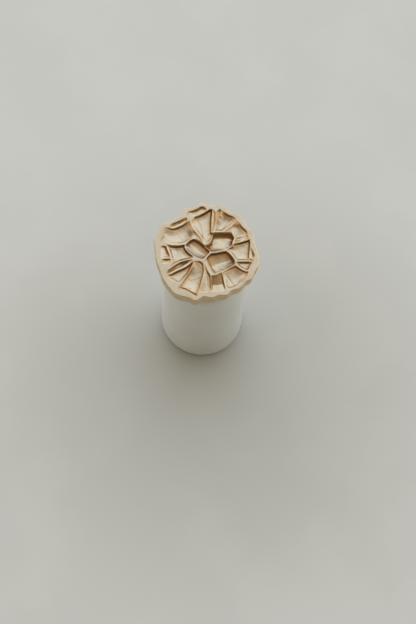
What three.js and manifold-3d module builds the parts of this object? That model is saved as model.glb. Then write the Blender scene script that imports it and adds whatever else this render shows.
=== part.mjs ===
// A wax seal stamp that stands on its butt with the engraved die facing up.
//
// A brass die with a scalloped outline is brazed to a turned boss. A steel stud in the boss
// screws into a brass insert in the turned handle, and a washer that the stud's thread
// holds captive lies between the boss and the handle.
//
// Millimetres, +Z up along the handle. The origin is the centre of the butt's flat face.

import * as THREE from 'three';
import { mergeVertices } from 'three/addons/utils/BufferGeometryUtils.js';
import Module from 'manifold-3d';

// Handle
const handleLength = 39.2;
const buttRadius = 11.65;
const handleTopRadius = 10.1;
const buttEdgeRadius = 1;
const shoulderRadius = 1.5;

// Threaded insert
const insertLength = 11;
const insertRadius = 4.5;
const insertGrooveDepth = 0.35;
const insertGrooves = 4;
const flangeRadius = 6.2;
const flangeThickness = 1;
const slotWidth = 1.4;
const slotDepth = 0.7;
const drillPointDepth = 2;

// Thread shared by the stud and the insert
const threadPitch = 1;
const threadRadius = 3;
const threadDepth = 0.6;
const threadClearance = 0.2;
const threadLength = 9.4;

// Stud, above its thread
const neckRadius = 2.3;
const neckLength = 1.4;
const shankRadius = 3;
const shankLength = 3.5;
const studChamfer = 0.5;

// Captive washer
const washerThickness = 0.8;
const washerRadius = 7;
const washerHoleGap = 0.35;

// Boss
const bossHeight = 4.5;
const bossRadius = 7.5;
const bossChamfer = 0.5;
const bossFlare = 1.3;
const spigotRadius = 5;
const spigotHeight = 0.5;

// Die
const dieRadius = 12.5;
const dieThickness = 3;
const cupDepth = 1.4;
const petalDepth = 1;
const sliverDepth = 0.5;

// Clearances round pieces that are fixed in a hole, and past the end of the spigot
const fitClearance = 0.2;
const spigotEndGap = 0.1;

// Places that follow from the sizes
const washerBottom = handleLength;
const bossBottom = washerBottom + washerThickness;
const dieBottom = bossBottom + bossHeight;
const dieFace = dieBottom + dieThickness;
const neckBottom = bossBottom - neckLength;
const threadBottom = neckBottom - threadLength;
const shankTop = bossBottom + shankLength;

// How finely round shapes are divided
const handleSegments = 64;
const turnedSegments = 40;
const threadSegments = 24;
const arcSteps = 5;
const outlineSteps = 180;

// The drawing of the outline and the flower gives radii, x and y in percent of the die's radius
const drawingScale = dieRadius / 100;

// Crests and notches of the die's scalloped outline: angle in degrees, radius
const outlineWaves = [
  [18, 95], [32, 99], [41, 97.5], [57, 102], [66, 99], [77, 105.5], [88, 102], [101, 105.5],
  [113, 98.5], [119, 102.5], [131, 93], [140, 96], [153, 106], [159, 104], [169, 104.5],
  [188, 98.5], [207, 97], [220, 100], [231, 102], [239, 104], [256, 99], [262, 101], [272, 90],
  [281, 92.5], [290, 90], [299, 94], [306, 91], [318, 95.5], [326, 94.5], [334, 99.5],
  [341, 98.5], [354, 101.5],
];

// The flower's pockets, each drawn anticlockwise as corners of x and y. A floor lies at its full
// depth on the side away from the viewer and rises by the given share towards the near side.
// First the petals.
const petals = [
  {
    rise: 0.5,
    corners: [[-89.5, 15], [-75.5, 9], [-56.5, 8.5], [-43.5, 12], [-28.5, 26.5], [-8.5, 16.5],
      [-22.5, 36], [-35.5, 52], [-38, 63.5], [-58.5, 48], [-71, 42], [-86, 42.5]],
  },
  {
    rise: 0.5,
    corners: [[-76, 2.5], [-67.5, -17.5], [-65.5, -30.5], [-68, -41], [-56, -29], [-38, -19],
      [-25, -12], [-40, 1], [-44, 10.5], [-67.5, 6], [-79, 9.5]],
  },
  {
    rise: 0.6,
    corners: [[-24.5, -28], [-33, -51], [-41.5, -69.5], [-47.5, -76.5], [-43, -81.5], [-32, -77],
      [-10.5, -88], [-7, -71.5], [-2.5, -38], [-5, -24], [-10.5, -19.5], [-24, -19]],
  },
  {
    rise: 0.8,
    corners: [[14.5, -61], [17, -78], [40.5, -74], [38, -59.5], [31.5, -37.5], [22.5, -43.5],
      [12, -46]],
  },
  {
    rise: 0.7,
    corners: [[37, -49.5], [44, -70.5], [61, -64], [76, -48], [82, -31], [69.5, -28.5],
      [56, -20.5], [46.5, -27.5], [33, -37.5]],
  },
  {
    rise: 0.5,
    corners: [[46.5, 20], [36.5, 10.5], [45, 4], [56.5, -11], [81, -8.5], [80.5, 22.5],
      [79, 36.5], [67, 30], [47, 22.5]],
  },
  {
    rise: 0.6,
    corners: [[51, 71.5], [39.5, 57.5], [30.5, 47.5], [43.5, 48], [49.5, 35.5], [48, 24.5],
      [66.5, 32], [78, 38], [73.5, 50.5], [62.5, 61], [51.5, 74.5]],
  },
  {
    rise: 0.6,
    corners: [[16, 81.5], [10, 58.5], [8.5, 45.5], [27.5, 48], [38.5, 58.5], [50.5, 75.5],
      [33, 84], [21, 91.5]],
  },
  {
    rise: 0.6,
    corners: [[-33.5, 55.5], [-20.5, 37.5], [-6.5, 15.5], [1.5, 20.5], [7, 33.5], [8, 41.5],
      [3.5, 42.5], [1.5, 91.5], [-7.5, 87], [-22.5, 75.5], [-33, 67.5], [-36, 63]],
  },
];

// Narrow cuts between two petals, and where the outer layer shows between the flower and the rim
const slivers = [
  [[-88, -8], [-85, -21], [-68.5, -19], [-76, -3], [-79.5, 5], [-89, 4]],
  [[-80, -33], [-66.5, -26.5], [-67, -20.5], [-82, -22.5], [-85, -28]],
  [[-69.5, -53], [-54.5, -43], [-37, -31], [-26, -19.5], [-38, -21], [-56, -31], [-69.5, -44.5],
    [-73.5, -52.5]],
  [[-66, -60], [-56, -64.5], [-44.5, -67.5], [-34, -50.5], [-25, -26], [-36.5, -34], [-54.5, -45],
    [-70, -54.5]],
  [[-0.5, -38], [-3, -60.5], [-6.5, -80.5], [15.5, -76], [11, -47.5], [1.5, -32.5], [-2.5, -24]],
  [[57, -18], [69.5, -26.5], [81, -29.5], [88.5, -11.5], [70, -11.5], [57.5, -13]],
  [[81.5, -8.5], [89, -10], [90.5, -7], [81.5, -3]],
  [[81.5, 11], [81.5, 0.5], [91.5, -3.5], [90.5, 5], [82, 22]],
  [[9.5, 59.5], [14.5, 78.5], [18.5, 92.5], [12, 89.5], [9, 84.5]],
  [[3, 69], [4.5, 44.5], [7.5, 45.5], [9, 74], [5, 90.5], [2, 92]],
  [[-76.5, 44.5], [-66, 45], [-51.5, 54], [-45, 60], [-46.5, 68], [-71.5, 53]],
  [[-45.5, 73.5], [-36, 73.5], [-21, 79], [-8, 88], [-17.5, 95.5], [-27.5, 89], [-45, 81], [-47, 75]],
];
const sliverRise = 0.5;

// The three curled petals at the heart
const cups = [
  [[-42.5, 5], [-31, -5], [-12, -14], [-6, -13], [5, 3], [-7.5, 15], [-28, 25.5], [-39.5, 15.5]],
  [[8, 33], [2.5, 19], [-6, 14], [6.5, 3.5], [21, 5.5], [36, 11.5], [46, 22], [48.5, 36],
    [42, 46.5], [8.5, 43]],
  [[0.5, -24.5], [12, -42.5], [22, -42], [39.5, -30], [55, -19.5], [53, -9.5], [37, 6.5], [21, 2],
    [3, -7.5], [-3, -16]],
];
const cupRise = 0.85;

// The petals lie like shingles. A wall that rises in this direction leans back by the gentle
// share of its depth, and the wall across from it by the steep share. The inset keeps the ridges
// between the pockets wide enough.
const shingleDirection = new THREE.Vector2(-0.35, -0.94).normalize();
const gentleLean = 0.4;
const steepLean = 0.08;
const ridgeInset = 0.1;
const cutterHeadroom = 0.3;

const wasm = await Module();
wasm.setup();

// A three.js geometry as a solid, with its shared vertices merged and empty triangles dropped.
function toSolid(geometry) {
  const bare = geometry.clone();
  bare.deleteAttribute('normal');
  bare.deleteAttribute('uv');
  const merged = mergeVertices(bare, 1e-5);
  const corners = merged.index.array;
  const kept = [];
  for (let i = 0; i < corners.length; i += 3) {
    const [a, b, c] = [corners[i], corners[i + 1], corners[i + 2]];
    if (a !== b && b !== c && c !== a) kept.push(a, b, c);
  }
  return new wasm.Manifold(new wasm.Mesh({
    numProp: 3,
    vertProperties: new Float32Array(merged.attributes.position.array),
    triVerts: new Uint32Array(kept),
  }));
}

// A solid as a three.js geometry.
function toGeometry(solid) {
  const { vertProperties, triVerts } = solid.getMesh();
  const geometry = new THREE.BufferGeometry();
  geometry.setAttribute('position', new THREE.BufferAttribute(vertProperties, 3));
  geometry.setIndex(new THREE.BufferAttribute(triVerts, 1));
  geometry.computeVertexNormals();
  return geometry;
}

// A closed geometry from its vertices and triangles.
function closedGeometry(vertices, triangles) {
  const geometry = new THREE.BufferGeometry();
  const coordinates = vertices.flatMap((vertex) => vertex.toArray());
  geometry.setAttribute('position', new THREE.Float32BufferAttribute(coordinates, 3));
  geometry.setIndex(triangles);
  return geometry;
}

// A solid turned about the Z axis from a profile of radius and height, listed upwards
// along the outside and closed along the axis or on itself.
function turned(profile, segments) {
  const points = profile.map(([radius, height]) => new THREE.Vector2(radius, height));
  const geometry = new THREE.LatheGeometry(points, segments);
  geometry.rotateX(Math.PI / 2);
  return toSolid(geometry);
}

// A quarter-round between two directions, as profile points about a centre.
function arc(centreRadius, centreHeight, size, fromDegrees, toDegrees) {
  return Array.from({ length: arcSteps + 1 }, (_, i) => {
    const angle = THREE.MathUtils.degToRad(fromDegrees + (toDegrees - fromDegrees) * i / arcSteps);
    return [centreRadius + size * Math.cos(angle), centreHeight + size * Math.sin(angle)];
  });
}

// A solid screw along Z from z = bottom: one groove and one crest that climb a pitch each turn.
// It runs a turn past both ends of its length, to be trimmed by what it is joined or cut with.
function screw(crestRadius, rootRadius, bottom, length) {
  const steps = threadSegments * (Math.ceil(length / threadPitch) + 1);
  const start = bottom - threadPitch;
  const rise = threadPitch / threadSegments;
  const point = (radius, step, lift) => {
    const angle = step * 2 * Math.PI / threadSegments;
    const height = start + step * rise + lift;
    return new THREE.Vector3(radius * Math.cos(angle), radius * Math.sin(angle), height);
  };
  const vertices = [];
  const root = (step) => step;
  const crest = (step) => steps + threadSegments + 1 + step;
  for (let step = 0; step <= steps + threadSegments; step++) vertices.push(point(rootRadius, step, 0));
  for (let step = 0; step <= steps; step++) vertices.push(point(crestRadius, step, threadPitch / 2));
  const triangles = [];
  for (let step = 0; step < steps; step++) {
    const above = step + threadSegments;
    triangles.push(root(step), root(step + 1), crest(step + 1));
    triangles.push(root(step), crest(step + 1), crest(step));
    triangles.push(crest(step), crest(step + 1), root(above + 1));
    triangles.push(crest(step), root(above + 1), root(above));
  }
  const closeEnd = (first, centreHeight, upwards) => {
    const centre = vertices.push(new THREE.Vector3(0, 0, centreHeight)) - 1;
    const loop = Array.from({ length: threadSegments + 1 }, (_, i) => root(first + i));
    loop.push(crest(first));
    loop.forEach((vertex, i) => {
      const next = loop[(i + 1) % loop.length];
      triangles.push(...(upwards ? [centre, vertex, next] : [centre, next, vertex]));
    });
  };
  closeEnd(0, start, false);
  closeEnd(steps, start + steps * rise + threadPitch, true);
  return toSolid(closedGeometry(vertices, triangles));
}

// The die's radius at an angle: cosine waves between the listed crests and notches.
function outlineRadius(degrees) {
  const count = outlineWaves.length;
  let last = outlineWaves.findIndex(([angle]) => angle > degrees) - 1;
  if (last < 0) last = count - 1;
  const [fromAngle, fromRadius] = outlineWaves[last];
  const [toAngle, toRadius] = outlineWaves[(last + 1) % count];
  const span = (toAngle - fromAngle + 360) % 360;
  const share = ((degrees - fromAngle + 360) % 360) / span;
  const radius = fromRadius + (toRadius - fromRadius) * (1 - Math.cos(Math.PI * share)) / 2;
  return radius * drawingScale;
}

// A corner outline moved inwards, each side by its own distance from its outward direction.
function inset(corners, distanceOf) {
  const sides = corners.map((corner, i) => {
    const along = corners[(i + 1) % corners.length].clone().sub(corner).normalize();
    const outward = new THREE.Vector2(along.y, -along.x);
    return { outward, offset: outward.dot(corner) - distanceOf(outward) };
  });
  return corners.map((corner, i) => {
    const a = sides[(i + corners.length - 1) % corners.length];
    const b = sides[i];
    const cross = a.outward.cross(b.outward);
    if (Math.abs(cross) < 0.2) {
      const mean = a.outward.clone().add(b.outward).normalize();
      return corner.clone().addScaledVector(mean, (a.offset + b.offset) / 2 - mean.dot(corner));
    }
    return new THREE.Vector2(
      (a.offset * b.outward.y - b.offset * a.outward.y) / cross,
      (b.offset * a.outward.x - a.offset * b.outward.x) / cross,
    );
  });
}

// A solid through rings of equal count, listed downwards, each ring an array of 3-D points.
function stacked(rings) {
  const count = rings[0].length;
  const triangles = [];
  for (let ring = 0; ring < rings.length - 1; ring++) {
    for (let i = 0; i < count; i++) {
      const next = (i + 1) % count;
      const [a, b] = [ring * count + i, ring * count + next];
      const [c, d] = [a + count, b + count];
      triangles.push(a, c, d, a, d, b);
    }
  }
  const flat = (ring) => rings[ring].map((p) => new THREE.Vector2(p.x, p.y));
  const cap = (ring) => THREE.ShapeUtils.triangulateShape(flat(ring), []);
  const lastRing = rings.length - 1;
  cap(0).forEach(([a, b, c]) => triangles.push(a, b, c));
  cap(lastRing).forEach(([a, b, c]) => triangles.push(...[c, b, a].map((i) => i + lastRing * count)));
  return toSolid(closedGeometry(rings.flat(), triangles));
}

const atHeight = (points, height) => points.map((p) => new THREE.Vector3(p.x, p.y, height));

// The share of its depth by which a wall leans back, from the direction that it rises in.
function wallLean(outward) {
  const share = (1 + outward.dot(shingleDirection)) / 2;
  return steepLean + (gentleLean - steepLean) * share;
}

// The cutter of one pocket: leaning walls down to a floor that rises towards the near side.
function pocketCutter(corners, depth, rise) {
  const outline = corners.map(([x, y]) => new THREE.Vector2(x, y).multiplyScalar(drawingScale));
  const nearness = outline.map((p) => p.dot(shingleDirection));
  const [least, most] = [Math.min(...nearness), Math.max(...nearness)];
  const meanDepth = depth * (1 - rise / 2);
  const top = inset(outline, (outward) => ridgeInset - cutterHeadroom * wallLean(outward));
  const floor = inset(outline, (outward) => ridgeInset + meanDepth * wallLean(outward));
  const floorRing = floor.map((p, i) => {
    const share = (nearness[i] - least) / (most - least);
    return new THREE.Vector3(p.x, p.y, dieFace - depth * (1 - rise * share));
  });
  return stacked([atHeight(top, dieFace + cutterHeadroom), floorRing]);
}

// The die: a scalloped plate with the carved flower and a socket for the boss's spigot.
function sealDie() {
  const outline = Array.from({ length: outlineSteps }, (_, i) => {
    const degrees = i * 360 / outlineSteps;
    const angle = THREE.MathUtils.degToRad(degrees);
    return new THREE.Vector2(Math.cos(angle), Math.sin(angle)).multiplyScalar(outlineRadius(degrees));
  });
  const shape = new THREE.Shape(outline);
  const plate = new THREE.ExtrudeGeometry(shape, { depth: dieThickness, bevelEnabled: false });
  plate.translate(0, 0, dieBottom);
  const socketRadius = spigotRadius + fitClearance;
  const socketTop = dieBottom + spigotHeight + spigotEndGap;
  const socket = turned([
    [0, dieBottom - cutterHeadroom],
    [socketRadius, dieBottom - cutterHeadroom],
    [socketRadius, socketTop],
    [0, socketTop],
  ], turnedSegments);
  let die = toSolid(plate).subtract(socket);
  for (const { rise, corners } of petals) die = die.subtract(pocketCutter(corners, petalDepth, rise));
  for (const corners of slivers) die = die.subtract(pocketCutter(corners, sliverDepth, sliverRise));
  for (const corners of cups) die = die.subtract(pocketCutter(corners, cupDepth, cupRise));
  return die;
}

// The boss: a turned collar that flares under the die, with a spigot above and a blind hole below.
function dieBoss() {
  const holeRadius = shankRadius + fitClearance;
  const flareBottom = dieBottom - bossFlare;
  return turned([
    [0, shankTop],
    [holeRadius, shankTop],
    [holeRadius, bossBottom],
    [bossRadius - bossChamfer, bossBottom],
    [bossRadius, bossBottom + bossChamfer],
    ...arc(bossRadius + bossFlare, flareBottom, bossFlare, 180, 90),
    [spigotRadius, dieBottom],
    [spigotRadius, dieBottom + spigotHeight],
    [0, dieBottom + spigotHeight],
  ], turnedSegments);
}

// The stud: a threaded end with a chamfered tip, a thinner neck and a plain shank.
function threadedStud() {
  const thread = screw(threadRadius, threadRadius - threadDepth, threadBottom, threadLength);
  const trim = turned([
    [0, threadBottom],
    [threadRadius - studChamfer, threadBottom],
    [threadRadius + fitClearance, threadBottom + studChamfer + fitClearance],
    [threadRadius + fitClearance, neckBottom],
    [0, neckBottom],
  ], threadSegments);
  const upper = turned([
    [0, neckBottom - threadPitch],
    [neckRadius, neckBottom - threadPitch],
    [neckRadius, bossBottom],
    [shankRadius, bossBottom],
    [shankRadius, shankTop],
    [0, shankTop],
  ], threadSegments);
  return thread.intersect(trim).add(upper);
}

// The washer: a flat ring whose hole is smaller than the thread and wider than the neck.
function captiveWasher() {
  const holeRadius = neckRadius + washerHoleGap;
  return turned([
    [holeRadius, washerBottom],
    [washerRadius, washerBottom],
    [washerRadius, bossBottom],
    [holeRadius, bossBottom],
    [holeRadius, washerBottom],
  ], turnedSegments);
}

// The insert: a grooved bush with a slotted flange, flush with the handle's top, and a thread.
function threadedInsert() {
  const insertBottom = handleLength - insertLength;
  const flangeBottom = handleLength - flangeThickness;
  const grooveRadius = insertRadius - insertGrooveDepth;
  const ribSpan = (insertLength - flangeThickness) / (2 * insertGrooves + 1);
  const ribs = [];
  for (let i = 0; i <= 2 * insertGrooves; i++) {
    const radius = i % 2 === 0 ? insertRadius : grooveRadius;
    ribs.push([radius, insertBottom + i * ribSpan], [radius, insertBottom + (i + 1) * ribSpan]);
  }
  const bush = turned([
    [0, insertBottom],
    ...ribs,
    [flangeRadius, flangeBottom],
    [flangeRadius, handleLength],
    [0, handleLength],
  ], turnedSegments);
  const turnsBelowStud = Math.ceil((threadBottom - insertBottom) / threadPitch) + 1;
  const grooveBottom = threadBottom - turnsBelowStud * threadPitch;
  const grooveLength = handleLength - grooveBottom + threadPitch;
  const groove = screw(
    threadRadius + threadClearance,
    threadRadius - threadDepth + threadClearance,
    grooveBottom,
    grooveLength,
  );
  const slot = new THREE.BoxGeometry(2 * (flangeRadius + fitClearance), slotWidth, 2 * slotDepth);
  slot.translate(0, 0, handleLength);
  return bush.subtract(groove).subtract(toSolid(slot));
}

// The handle: a gently tapering turned body with rounded edges and a stepped hole for the insert.
function handleBody() {
  const holeRadius = insertRadius + fitClearance;
  const holeBottom = handleLength - insertLength - fitClearance;
  const flangeBottom = handleLength - flangeThickness;
  const seatRadius = flangeRadius + fitClearance;
  return turned([
    [0, 0],
    ...arc(buttRadius - buttEdgeRadius, buttEdgeRadius, buttEdgeRadius, -90, 0),
    ...arc(handleTopRadius - shoulderRadius, handleLength - shoulderRadius, shoulderRadius, 0, 90),
    [seatRadius, handleLength],
    [seatRadius, flangeBottom],
    [holeRadius, flangeBottom],
    [holeRadius, holeBottom],
    [0, holeBottom - drillPointDepth],
  ], handleSegments);
}

const brass = { color: 0xc3a878, roughness: 0.38, metalness: 1 };
const dieBrass = { color: 0xc9b086, roughness: 0.32, metalness: 1 };
const steel = { color: 0x9a9c9e, roughness: 0.35, metalness: 1 };
const fibre = { color: 0x7a4a3a, roughness: 0.8, metalness: 0 };
const lacquer = { color: 0xc9c7bd, roughness: 0.5, metalness: 0 };

// A named mesh of one piece, with a material of its own.
function piece(name, solid, look) {
  const mesh = new THREE.Mesh(toGeometry(solid), new THREE.MeshStandardMaterial(look));
  mesh.name = name;
  return mesh;
}

const head = new THREE.Group();
head.add(
  piece('seal_die', sealDie(), dieBrass),
  piece('die_boss', dieBoss(), brass),
  piece('threaded_stud', threadedStud(), steel),
);

const handle = new THREE.Group();
handle.add(
  piece('handle_body', handleBody(), lacquer),
  piece('threaded_insert', threadedInsert(), brass),
);

const stamp = new THREE.Group();
stamp.add(handle, piece('captive_washer', captiveWasher(), fibre), head);

export default stamp;
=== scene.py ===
# %% [markdown]
# A wax seal stamp: an engraved brass die on a turned boss, screwed into a pale lacquered handle.
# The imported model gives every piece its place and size. This script gives each one its surface:
# it reads the places from the frame, works out finer shapes with numpy, and paints them with
# shader nodes. All lengths in the lists are millimetres, and MM turns them into metres.

# %% Load the frame
import math

import bpy
import numpy as np
from mathutils import Matrix, Vector


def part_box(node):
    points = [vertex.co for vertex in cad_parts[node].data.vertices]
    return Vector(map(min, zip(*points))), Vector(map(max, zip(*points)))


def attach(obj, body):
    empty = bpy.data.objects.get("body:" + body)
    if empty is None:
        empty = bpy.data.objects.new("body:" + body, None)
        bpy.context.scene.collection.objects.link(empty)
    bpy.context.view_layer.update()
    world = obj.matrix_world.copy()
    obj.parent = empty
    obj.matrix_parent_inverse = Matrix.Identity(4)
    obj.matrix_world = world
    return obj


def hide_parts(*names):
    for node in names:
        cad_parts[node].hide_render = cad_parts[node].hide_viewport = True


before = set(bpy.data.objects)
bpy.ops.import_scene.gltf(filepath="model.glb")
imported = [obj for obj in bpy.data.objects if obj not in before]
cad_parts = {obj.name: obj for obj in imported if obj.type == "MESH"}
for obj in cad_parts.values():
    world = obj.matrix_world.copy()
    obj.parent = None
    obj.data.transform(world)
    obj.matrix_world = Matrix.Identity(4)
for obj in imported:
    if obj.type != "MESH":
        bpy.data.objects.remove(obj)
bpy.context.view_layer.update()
MM = 0.001

handle_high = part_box("handle_body")[1] / MM
insert_low, insert_high = (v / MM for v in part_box("threaded_insert"))
washer_low, washer_high = (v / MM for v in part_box("captive_washer"))
stud_low, stud_high = (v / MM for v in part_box("threaded_stud"))
boss_low, boss_high = (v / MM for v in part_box("die_boss"))
die_low, die_high = (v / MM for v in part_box("seal_die"))


def add_object(name, data):
    """A new object that holds the data, placed in the scene."""
    thing = bpy.data.objects.new(name, data)
    bpy.context.scene.collection.objects.link(thing)
    return thing


# %% [markdown]
# The camera repeats the photograph's: a normal lens a quarter of a metre away, looking down at 71
# degrees and turned a little. A camera this close shows the die larger than the butt below it, so
# the handle's taper can't be read from the picture alone: the place of the camera was fitted
# first. The matrix has the camera's right, up and back directions as its columns.

# %% Camera
CAMERA_LENS = 50.0
SENSOR_WIDTH = 36.0
CLIP_START = 0.01
CLIP_END = 10.0
CAMERA_ELEVATION = math.radians(70.66)
CAMERA_ROLL = math.radians(5.7)
CAMERA_DISTANCE = 252.06
CAMERA_AIM = Vector((1.67, 1.78, 0.0))

back = Vector((0.0, -math.cos(CAMERA_ELEVATION), math.sin(CAMERA_ELEVATION)))
level_right = Vector((1.0, 0.0, 0.0))
level_up = back.cross(level_right)
right = math.cos(CAMERA_ROLL) * level_right + math.sin(CAMERA_ROLL) * level_up
up = math.cos(CAMERA_ROLL) * level_up - math.sin(CAMERA_ROLL) * level_right

camera = add_object("camera", bpy.data.cameras.new("camera"))
camera.data.lens = CAMERA_LENS
camera.data.sensor_width = SENSOR_WIDTH
camera.data.clip_start = CLIP_START
camera.data.clip_end = CLIP_END
turn = Matrix((right, up, back)).transposed().to_4x4()
camera.matrix_world = Matrix.Translation((CAMERA_AIM + CAMERA_DISTANCE * back) * MM) @ turn
bpy.context.scene.camera = camera
print("camera at", [round(v / MM, 1) for v in camera.location], "mm")

# %% [markdown]
# Colours and surfaces come from shader nodes. These helpers make a node, wire it up and return what
# it gives, so that the world and the materials below read like formulas.


# %% Shader helpers
def new_material(name, metallic):
    """A node material with its Principled shader, ready to be wired up."""
    material = bpy.data.materials.new(name)
    material.use_nodes = True
    shader = material.node_tree.nodes["Principled BSDF"]
    shader.inputs["Metallic"].default_value = metallic
    return material, material.node_tree, shader


def feed(tree, socket, value):
    """Wires a socket to the output that it is given, or sets it to a number or a colour."""
    if isinstance(value, bpy.types.NodeSocket):
        tree.links.new(value, socket)
    else:
        socket.default_value = value


def node(tree, kind, settings=None, **given):
    """Makes a node, and returns its outputs. An input is named with _ for each space."""
    made = tree.nodes.new("ShaderNode" + kind)
    for title, value in (settings or {}).items():
        setattr(made, title, value)
    for title, value in given.items():
        feed(tree, made.inputs[title.replace("_", " ")], value)
    return made.outputs


def calculate(tree, operation, *values):
    """One step of arithmetic on numbers and sockets."""
    made = tree.nodes.new("ShaderNodeMath")
    made.operation = operation
    for socket, value in zip(made.inputs, values):
        feed(tree, socket, value)
    return made.outputs["Value"]


def length_of(tree, x, y):
    """sqrt(x^2 + y^2)"""
    squares = [calculate(tree, "POWER", value, 2.0) for value in (x, y)]
    return calculate(tree, "SQRT", calculate(tree, "ADD", *squares))


def noise(tree, place, size, detail):
    """Noise whose lumps are about the given size across, in millimetres."""
    scale = calculate(tree, "DIVIDE", 1 / MM, size)
    return node(tree, "TexNoise", Vector=place, Scale=scale, Detail=detail)["Fac"]


def spread(tree, value, low, high, to_low=0.0, to_high=1.0):
    """to_low where the value is low, to_high where it is high, held there beyond them, and a
    smooth step between."""
    return node(
        tree, "MapRange", {"interpolation_type": "SMOOTHSTEP"}, Value=value,
        From_Min=low, From_Max=high, To_Min=to_low, To_Max=to_high)["Result"]


def mix_colours(tree, share, below, above):
    """The first colour where the share is 0, and the second where it is 1."""
    return node(tree, "Mix", {"data_type": "RGBA"}, Factor=share, A=below, B=above)["Result"]


# %% [markdown]
# The light is that of a room with a large soft window behind the stamp, a little to the right:
# it leaves the front of the handle in shade and throws a short soft shadow towards the viewer.
# Brass is only as good as what it reflects, so the world isn't one flat grey: a blend on the
# ray's direction makes it bright behind and brown in front, and the horizon stays plain. A wide
# lamp near the zenith gathers the shadow at the foot, and a weak one at the left stands for a
# pale wall. Neither shows in reflections, because the world already holds what the brass shows.

# %% Floor, world and light
FLOOR_HALF_WIDTH = 1.5
ROOM_COLOURS = [
    (-1.0, (0.262, 0.215, 0.15)),
    (-0.5, (0.28, 0.195, 0.11)),
    (-0.15, (0.45, 0.355, 0.235)),
    (0.05, (0.74, 0.68, 0.56)),
    (0.33, (1.02, 1.06, 1.07)),
    (0.6, (1.44, 1.52, 1.58)),
    (0.8, (1.40, 1.48, 1.52)),
    (1.0, (1.0, 1.06, 1.08)),
]
HORIZON_COLOUR = (0.52, 0.51, 0.48, 1.0)
HORIZON_TOP = 0.22
WINDOW_SIDE = Vector((0.22, 0.975, 0.0))


def add_floor():
    """One large square at the height that the stamp stands on."""
    w = FLOOR_HALF_WIDTH
    mesh = bpy.data.meshes.new("floor")
    mesh.from_pydata([(-w, -w, 0), (w, -w, 0), (w, w, 0), (-w, w, 0)], [], [(0, 1, 2, 3)])
    floor = add_object("floor", mesh)
    return floor


def add_lamp(name, azimuth, elevation, distance, diameter, watts):
    """A round soft lamp aimed at the stamp. Azimuth turns from the back to the right, in degrees."""
    data = bpy.data.lights.new(name, "AREA")
    data.shape = "DISK"
    data.size = diameter
    data.energy = watts
    lamp = add_object(name, data)
    turn, lift = math.radians(azimuth), math.radians(elevation)
    level = math.cos(lift)
    away = Vector((math.sin(turn) * level, math.cos(turn) * level, math.sin(lift)))
    lamp.location = away * distance
    lamp.rotation_euler = away.to_track_quat("Z", "Y").to_euler()
    lamp.visible_glossy = False


def add_world():
    """The dot product of the ray's direction and the window's side runs from -1 to 1. It picks the
    room's colour from a ramp, which runs from 0 to 1 and so takes half of it plus a half."""
    world = bpy.data.worlds.new("room")
    world.use_nodes = True
    bpy.context.scene.world = world
    tree = world.node_tree
    direction = node(tree, "TexCoord")["Generated"]
    towards_window = tree.nodes.new("ShaderNodeVectorMath")
    towards_window.operation = "DOT_PRODUCT"
    towards_window.inputs[1].default_value = WINDOW_SIDE.normalized()
    tree.links.new(direction, towards_window.inputs[0])
    ramp = tree.nodes.new("ShaderNodeValToRGB")
    stops = ramp.color_ramp.elements
    for dot, _ in ROOM_COLOURS[1:-1]:
        stops.new((dot + 1) / 2)
    for stop, (dot, colour) in zip(stops, ROOM_COLOURS):
        stop.position = (dot + 1) / 2
        stop.color = (*colour, 1.0)
    share = calculate(tree, "MULTIPLY_ADD", towards_window.outputs["Value"], 0.5, 0.5)
    tree.links.new(share, ramp.inputs["Fac"])
    level = calculate(tree, "ABSOLUTE", node(tree, "SeparateXYZ", Vector=direction)["Z"])
    low = spread(tree, level, 0.0, HORIZON_TOP, 1.0, 0.0)
    room = mix_colours(tree, low, ramp.outputs["Color"], HORIZON_COLOUR)
    tree.links.new(room, tree.nodes["Background"].inputs["Color"])


bpy.context.scene.view_settings.view_transform = "Standard"
stage_floor = add_floor()
add_world()
add_lamp("window_glow", azimuth=-5, elevation=73, distance=0.9, diameter=0.6, watts=2.6)
add_lamp("pale_wall", azimuth=-95, elevation=20, distance=0.9, diameter=0.7, watts=0.9)
print("lamps:", [light.name for light in bpy.data.lights])

# %% [markdown]
# Every new piece is one grid of points: a function of two parameters, worked out as whole arrays.
# The helpers below turn such a grid into a mesh that is open, capped or closed on itself.


# %% From a grid to a mesh
def grid_quads(rows, columns, closed):
    """Each quad joins a point to its neighbour in the row, and both to the row above them."""
    across = columns if closed else columns - 1
    row, column = np.meshgrid(np.arange(rows - 1), np.arange(across), indexing="ij")
    beside = (column + 1) % columns
    quads = np.stack([
        row * columns + column,
        row * columns + beside,
        (row + 1) * columns + beside,
        (row + 1) * columns + column,
    ], axis=-1)
    return quads.reshape(-1, 4)


def capped_faces(rows, columns):
    """The quads of a tube, and a face over each of its two ends."""
    faces = grid_quads(rows, columns, True).tolist()
    faces.append(list(range(columns))[::-1])
    faces.append(list(range((rows - 1) * columns, rows * columns)))
    return faces


def looped_faces(rows, columns):
    """The quads of a ring: the row after the last is the first row again."""
    return (grid_quads(rows + 1, columns, True) % (rows * columns)).tolist()


def around_axis(radius, angle, height):
    """Points at x = radius * cos(angle), y = radius * sin(angle), z = height."""
    parts = [radius * np.cos(angle), radius * np.sin(angle), height + 0 * angle]
    return np.stack(parts, axis=-1).reshape(-1, 3)


def mesh_piece(name, points, faces, body):
    """A smooth mesh from points in millimetres, riding on a body."""
    mesh = bpy.data.meshes.new(name)
    mesh.from_pydata((points * MM).tolist(), [], faces)
    mesh.shade_smooth()
    mesh.validate()
    piece = add_object(name, mesh)
    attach(piece, body)
    print(name, len(mesh.polygons), "faces")
    return piece


def mark(piece, title, values):
    """Gives each of the piece's points its own number, which its material reads by the title."""
    attribute = piece.data.attributes.new(title, "FLOAT", "POINT")
    attribute.data.foreach_set("value", values.astype(np.float32))


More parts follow.
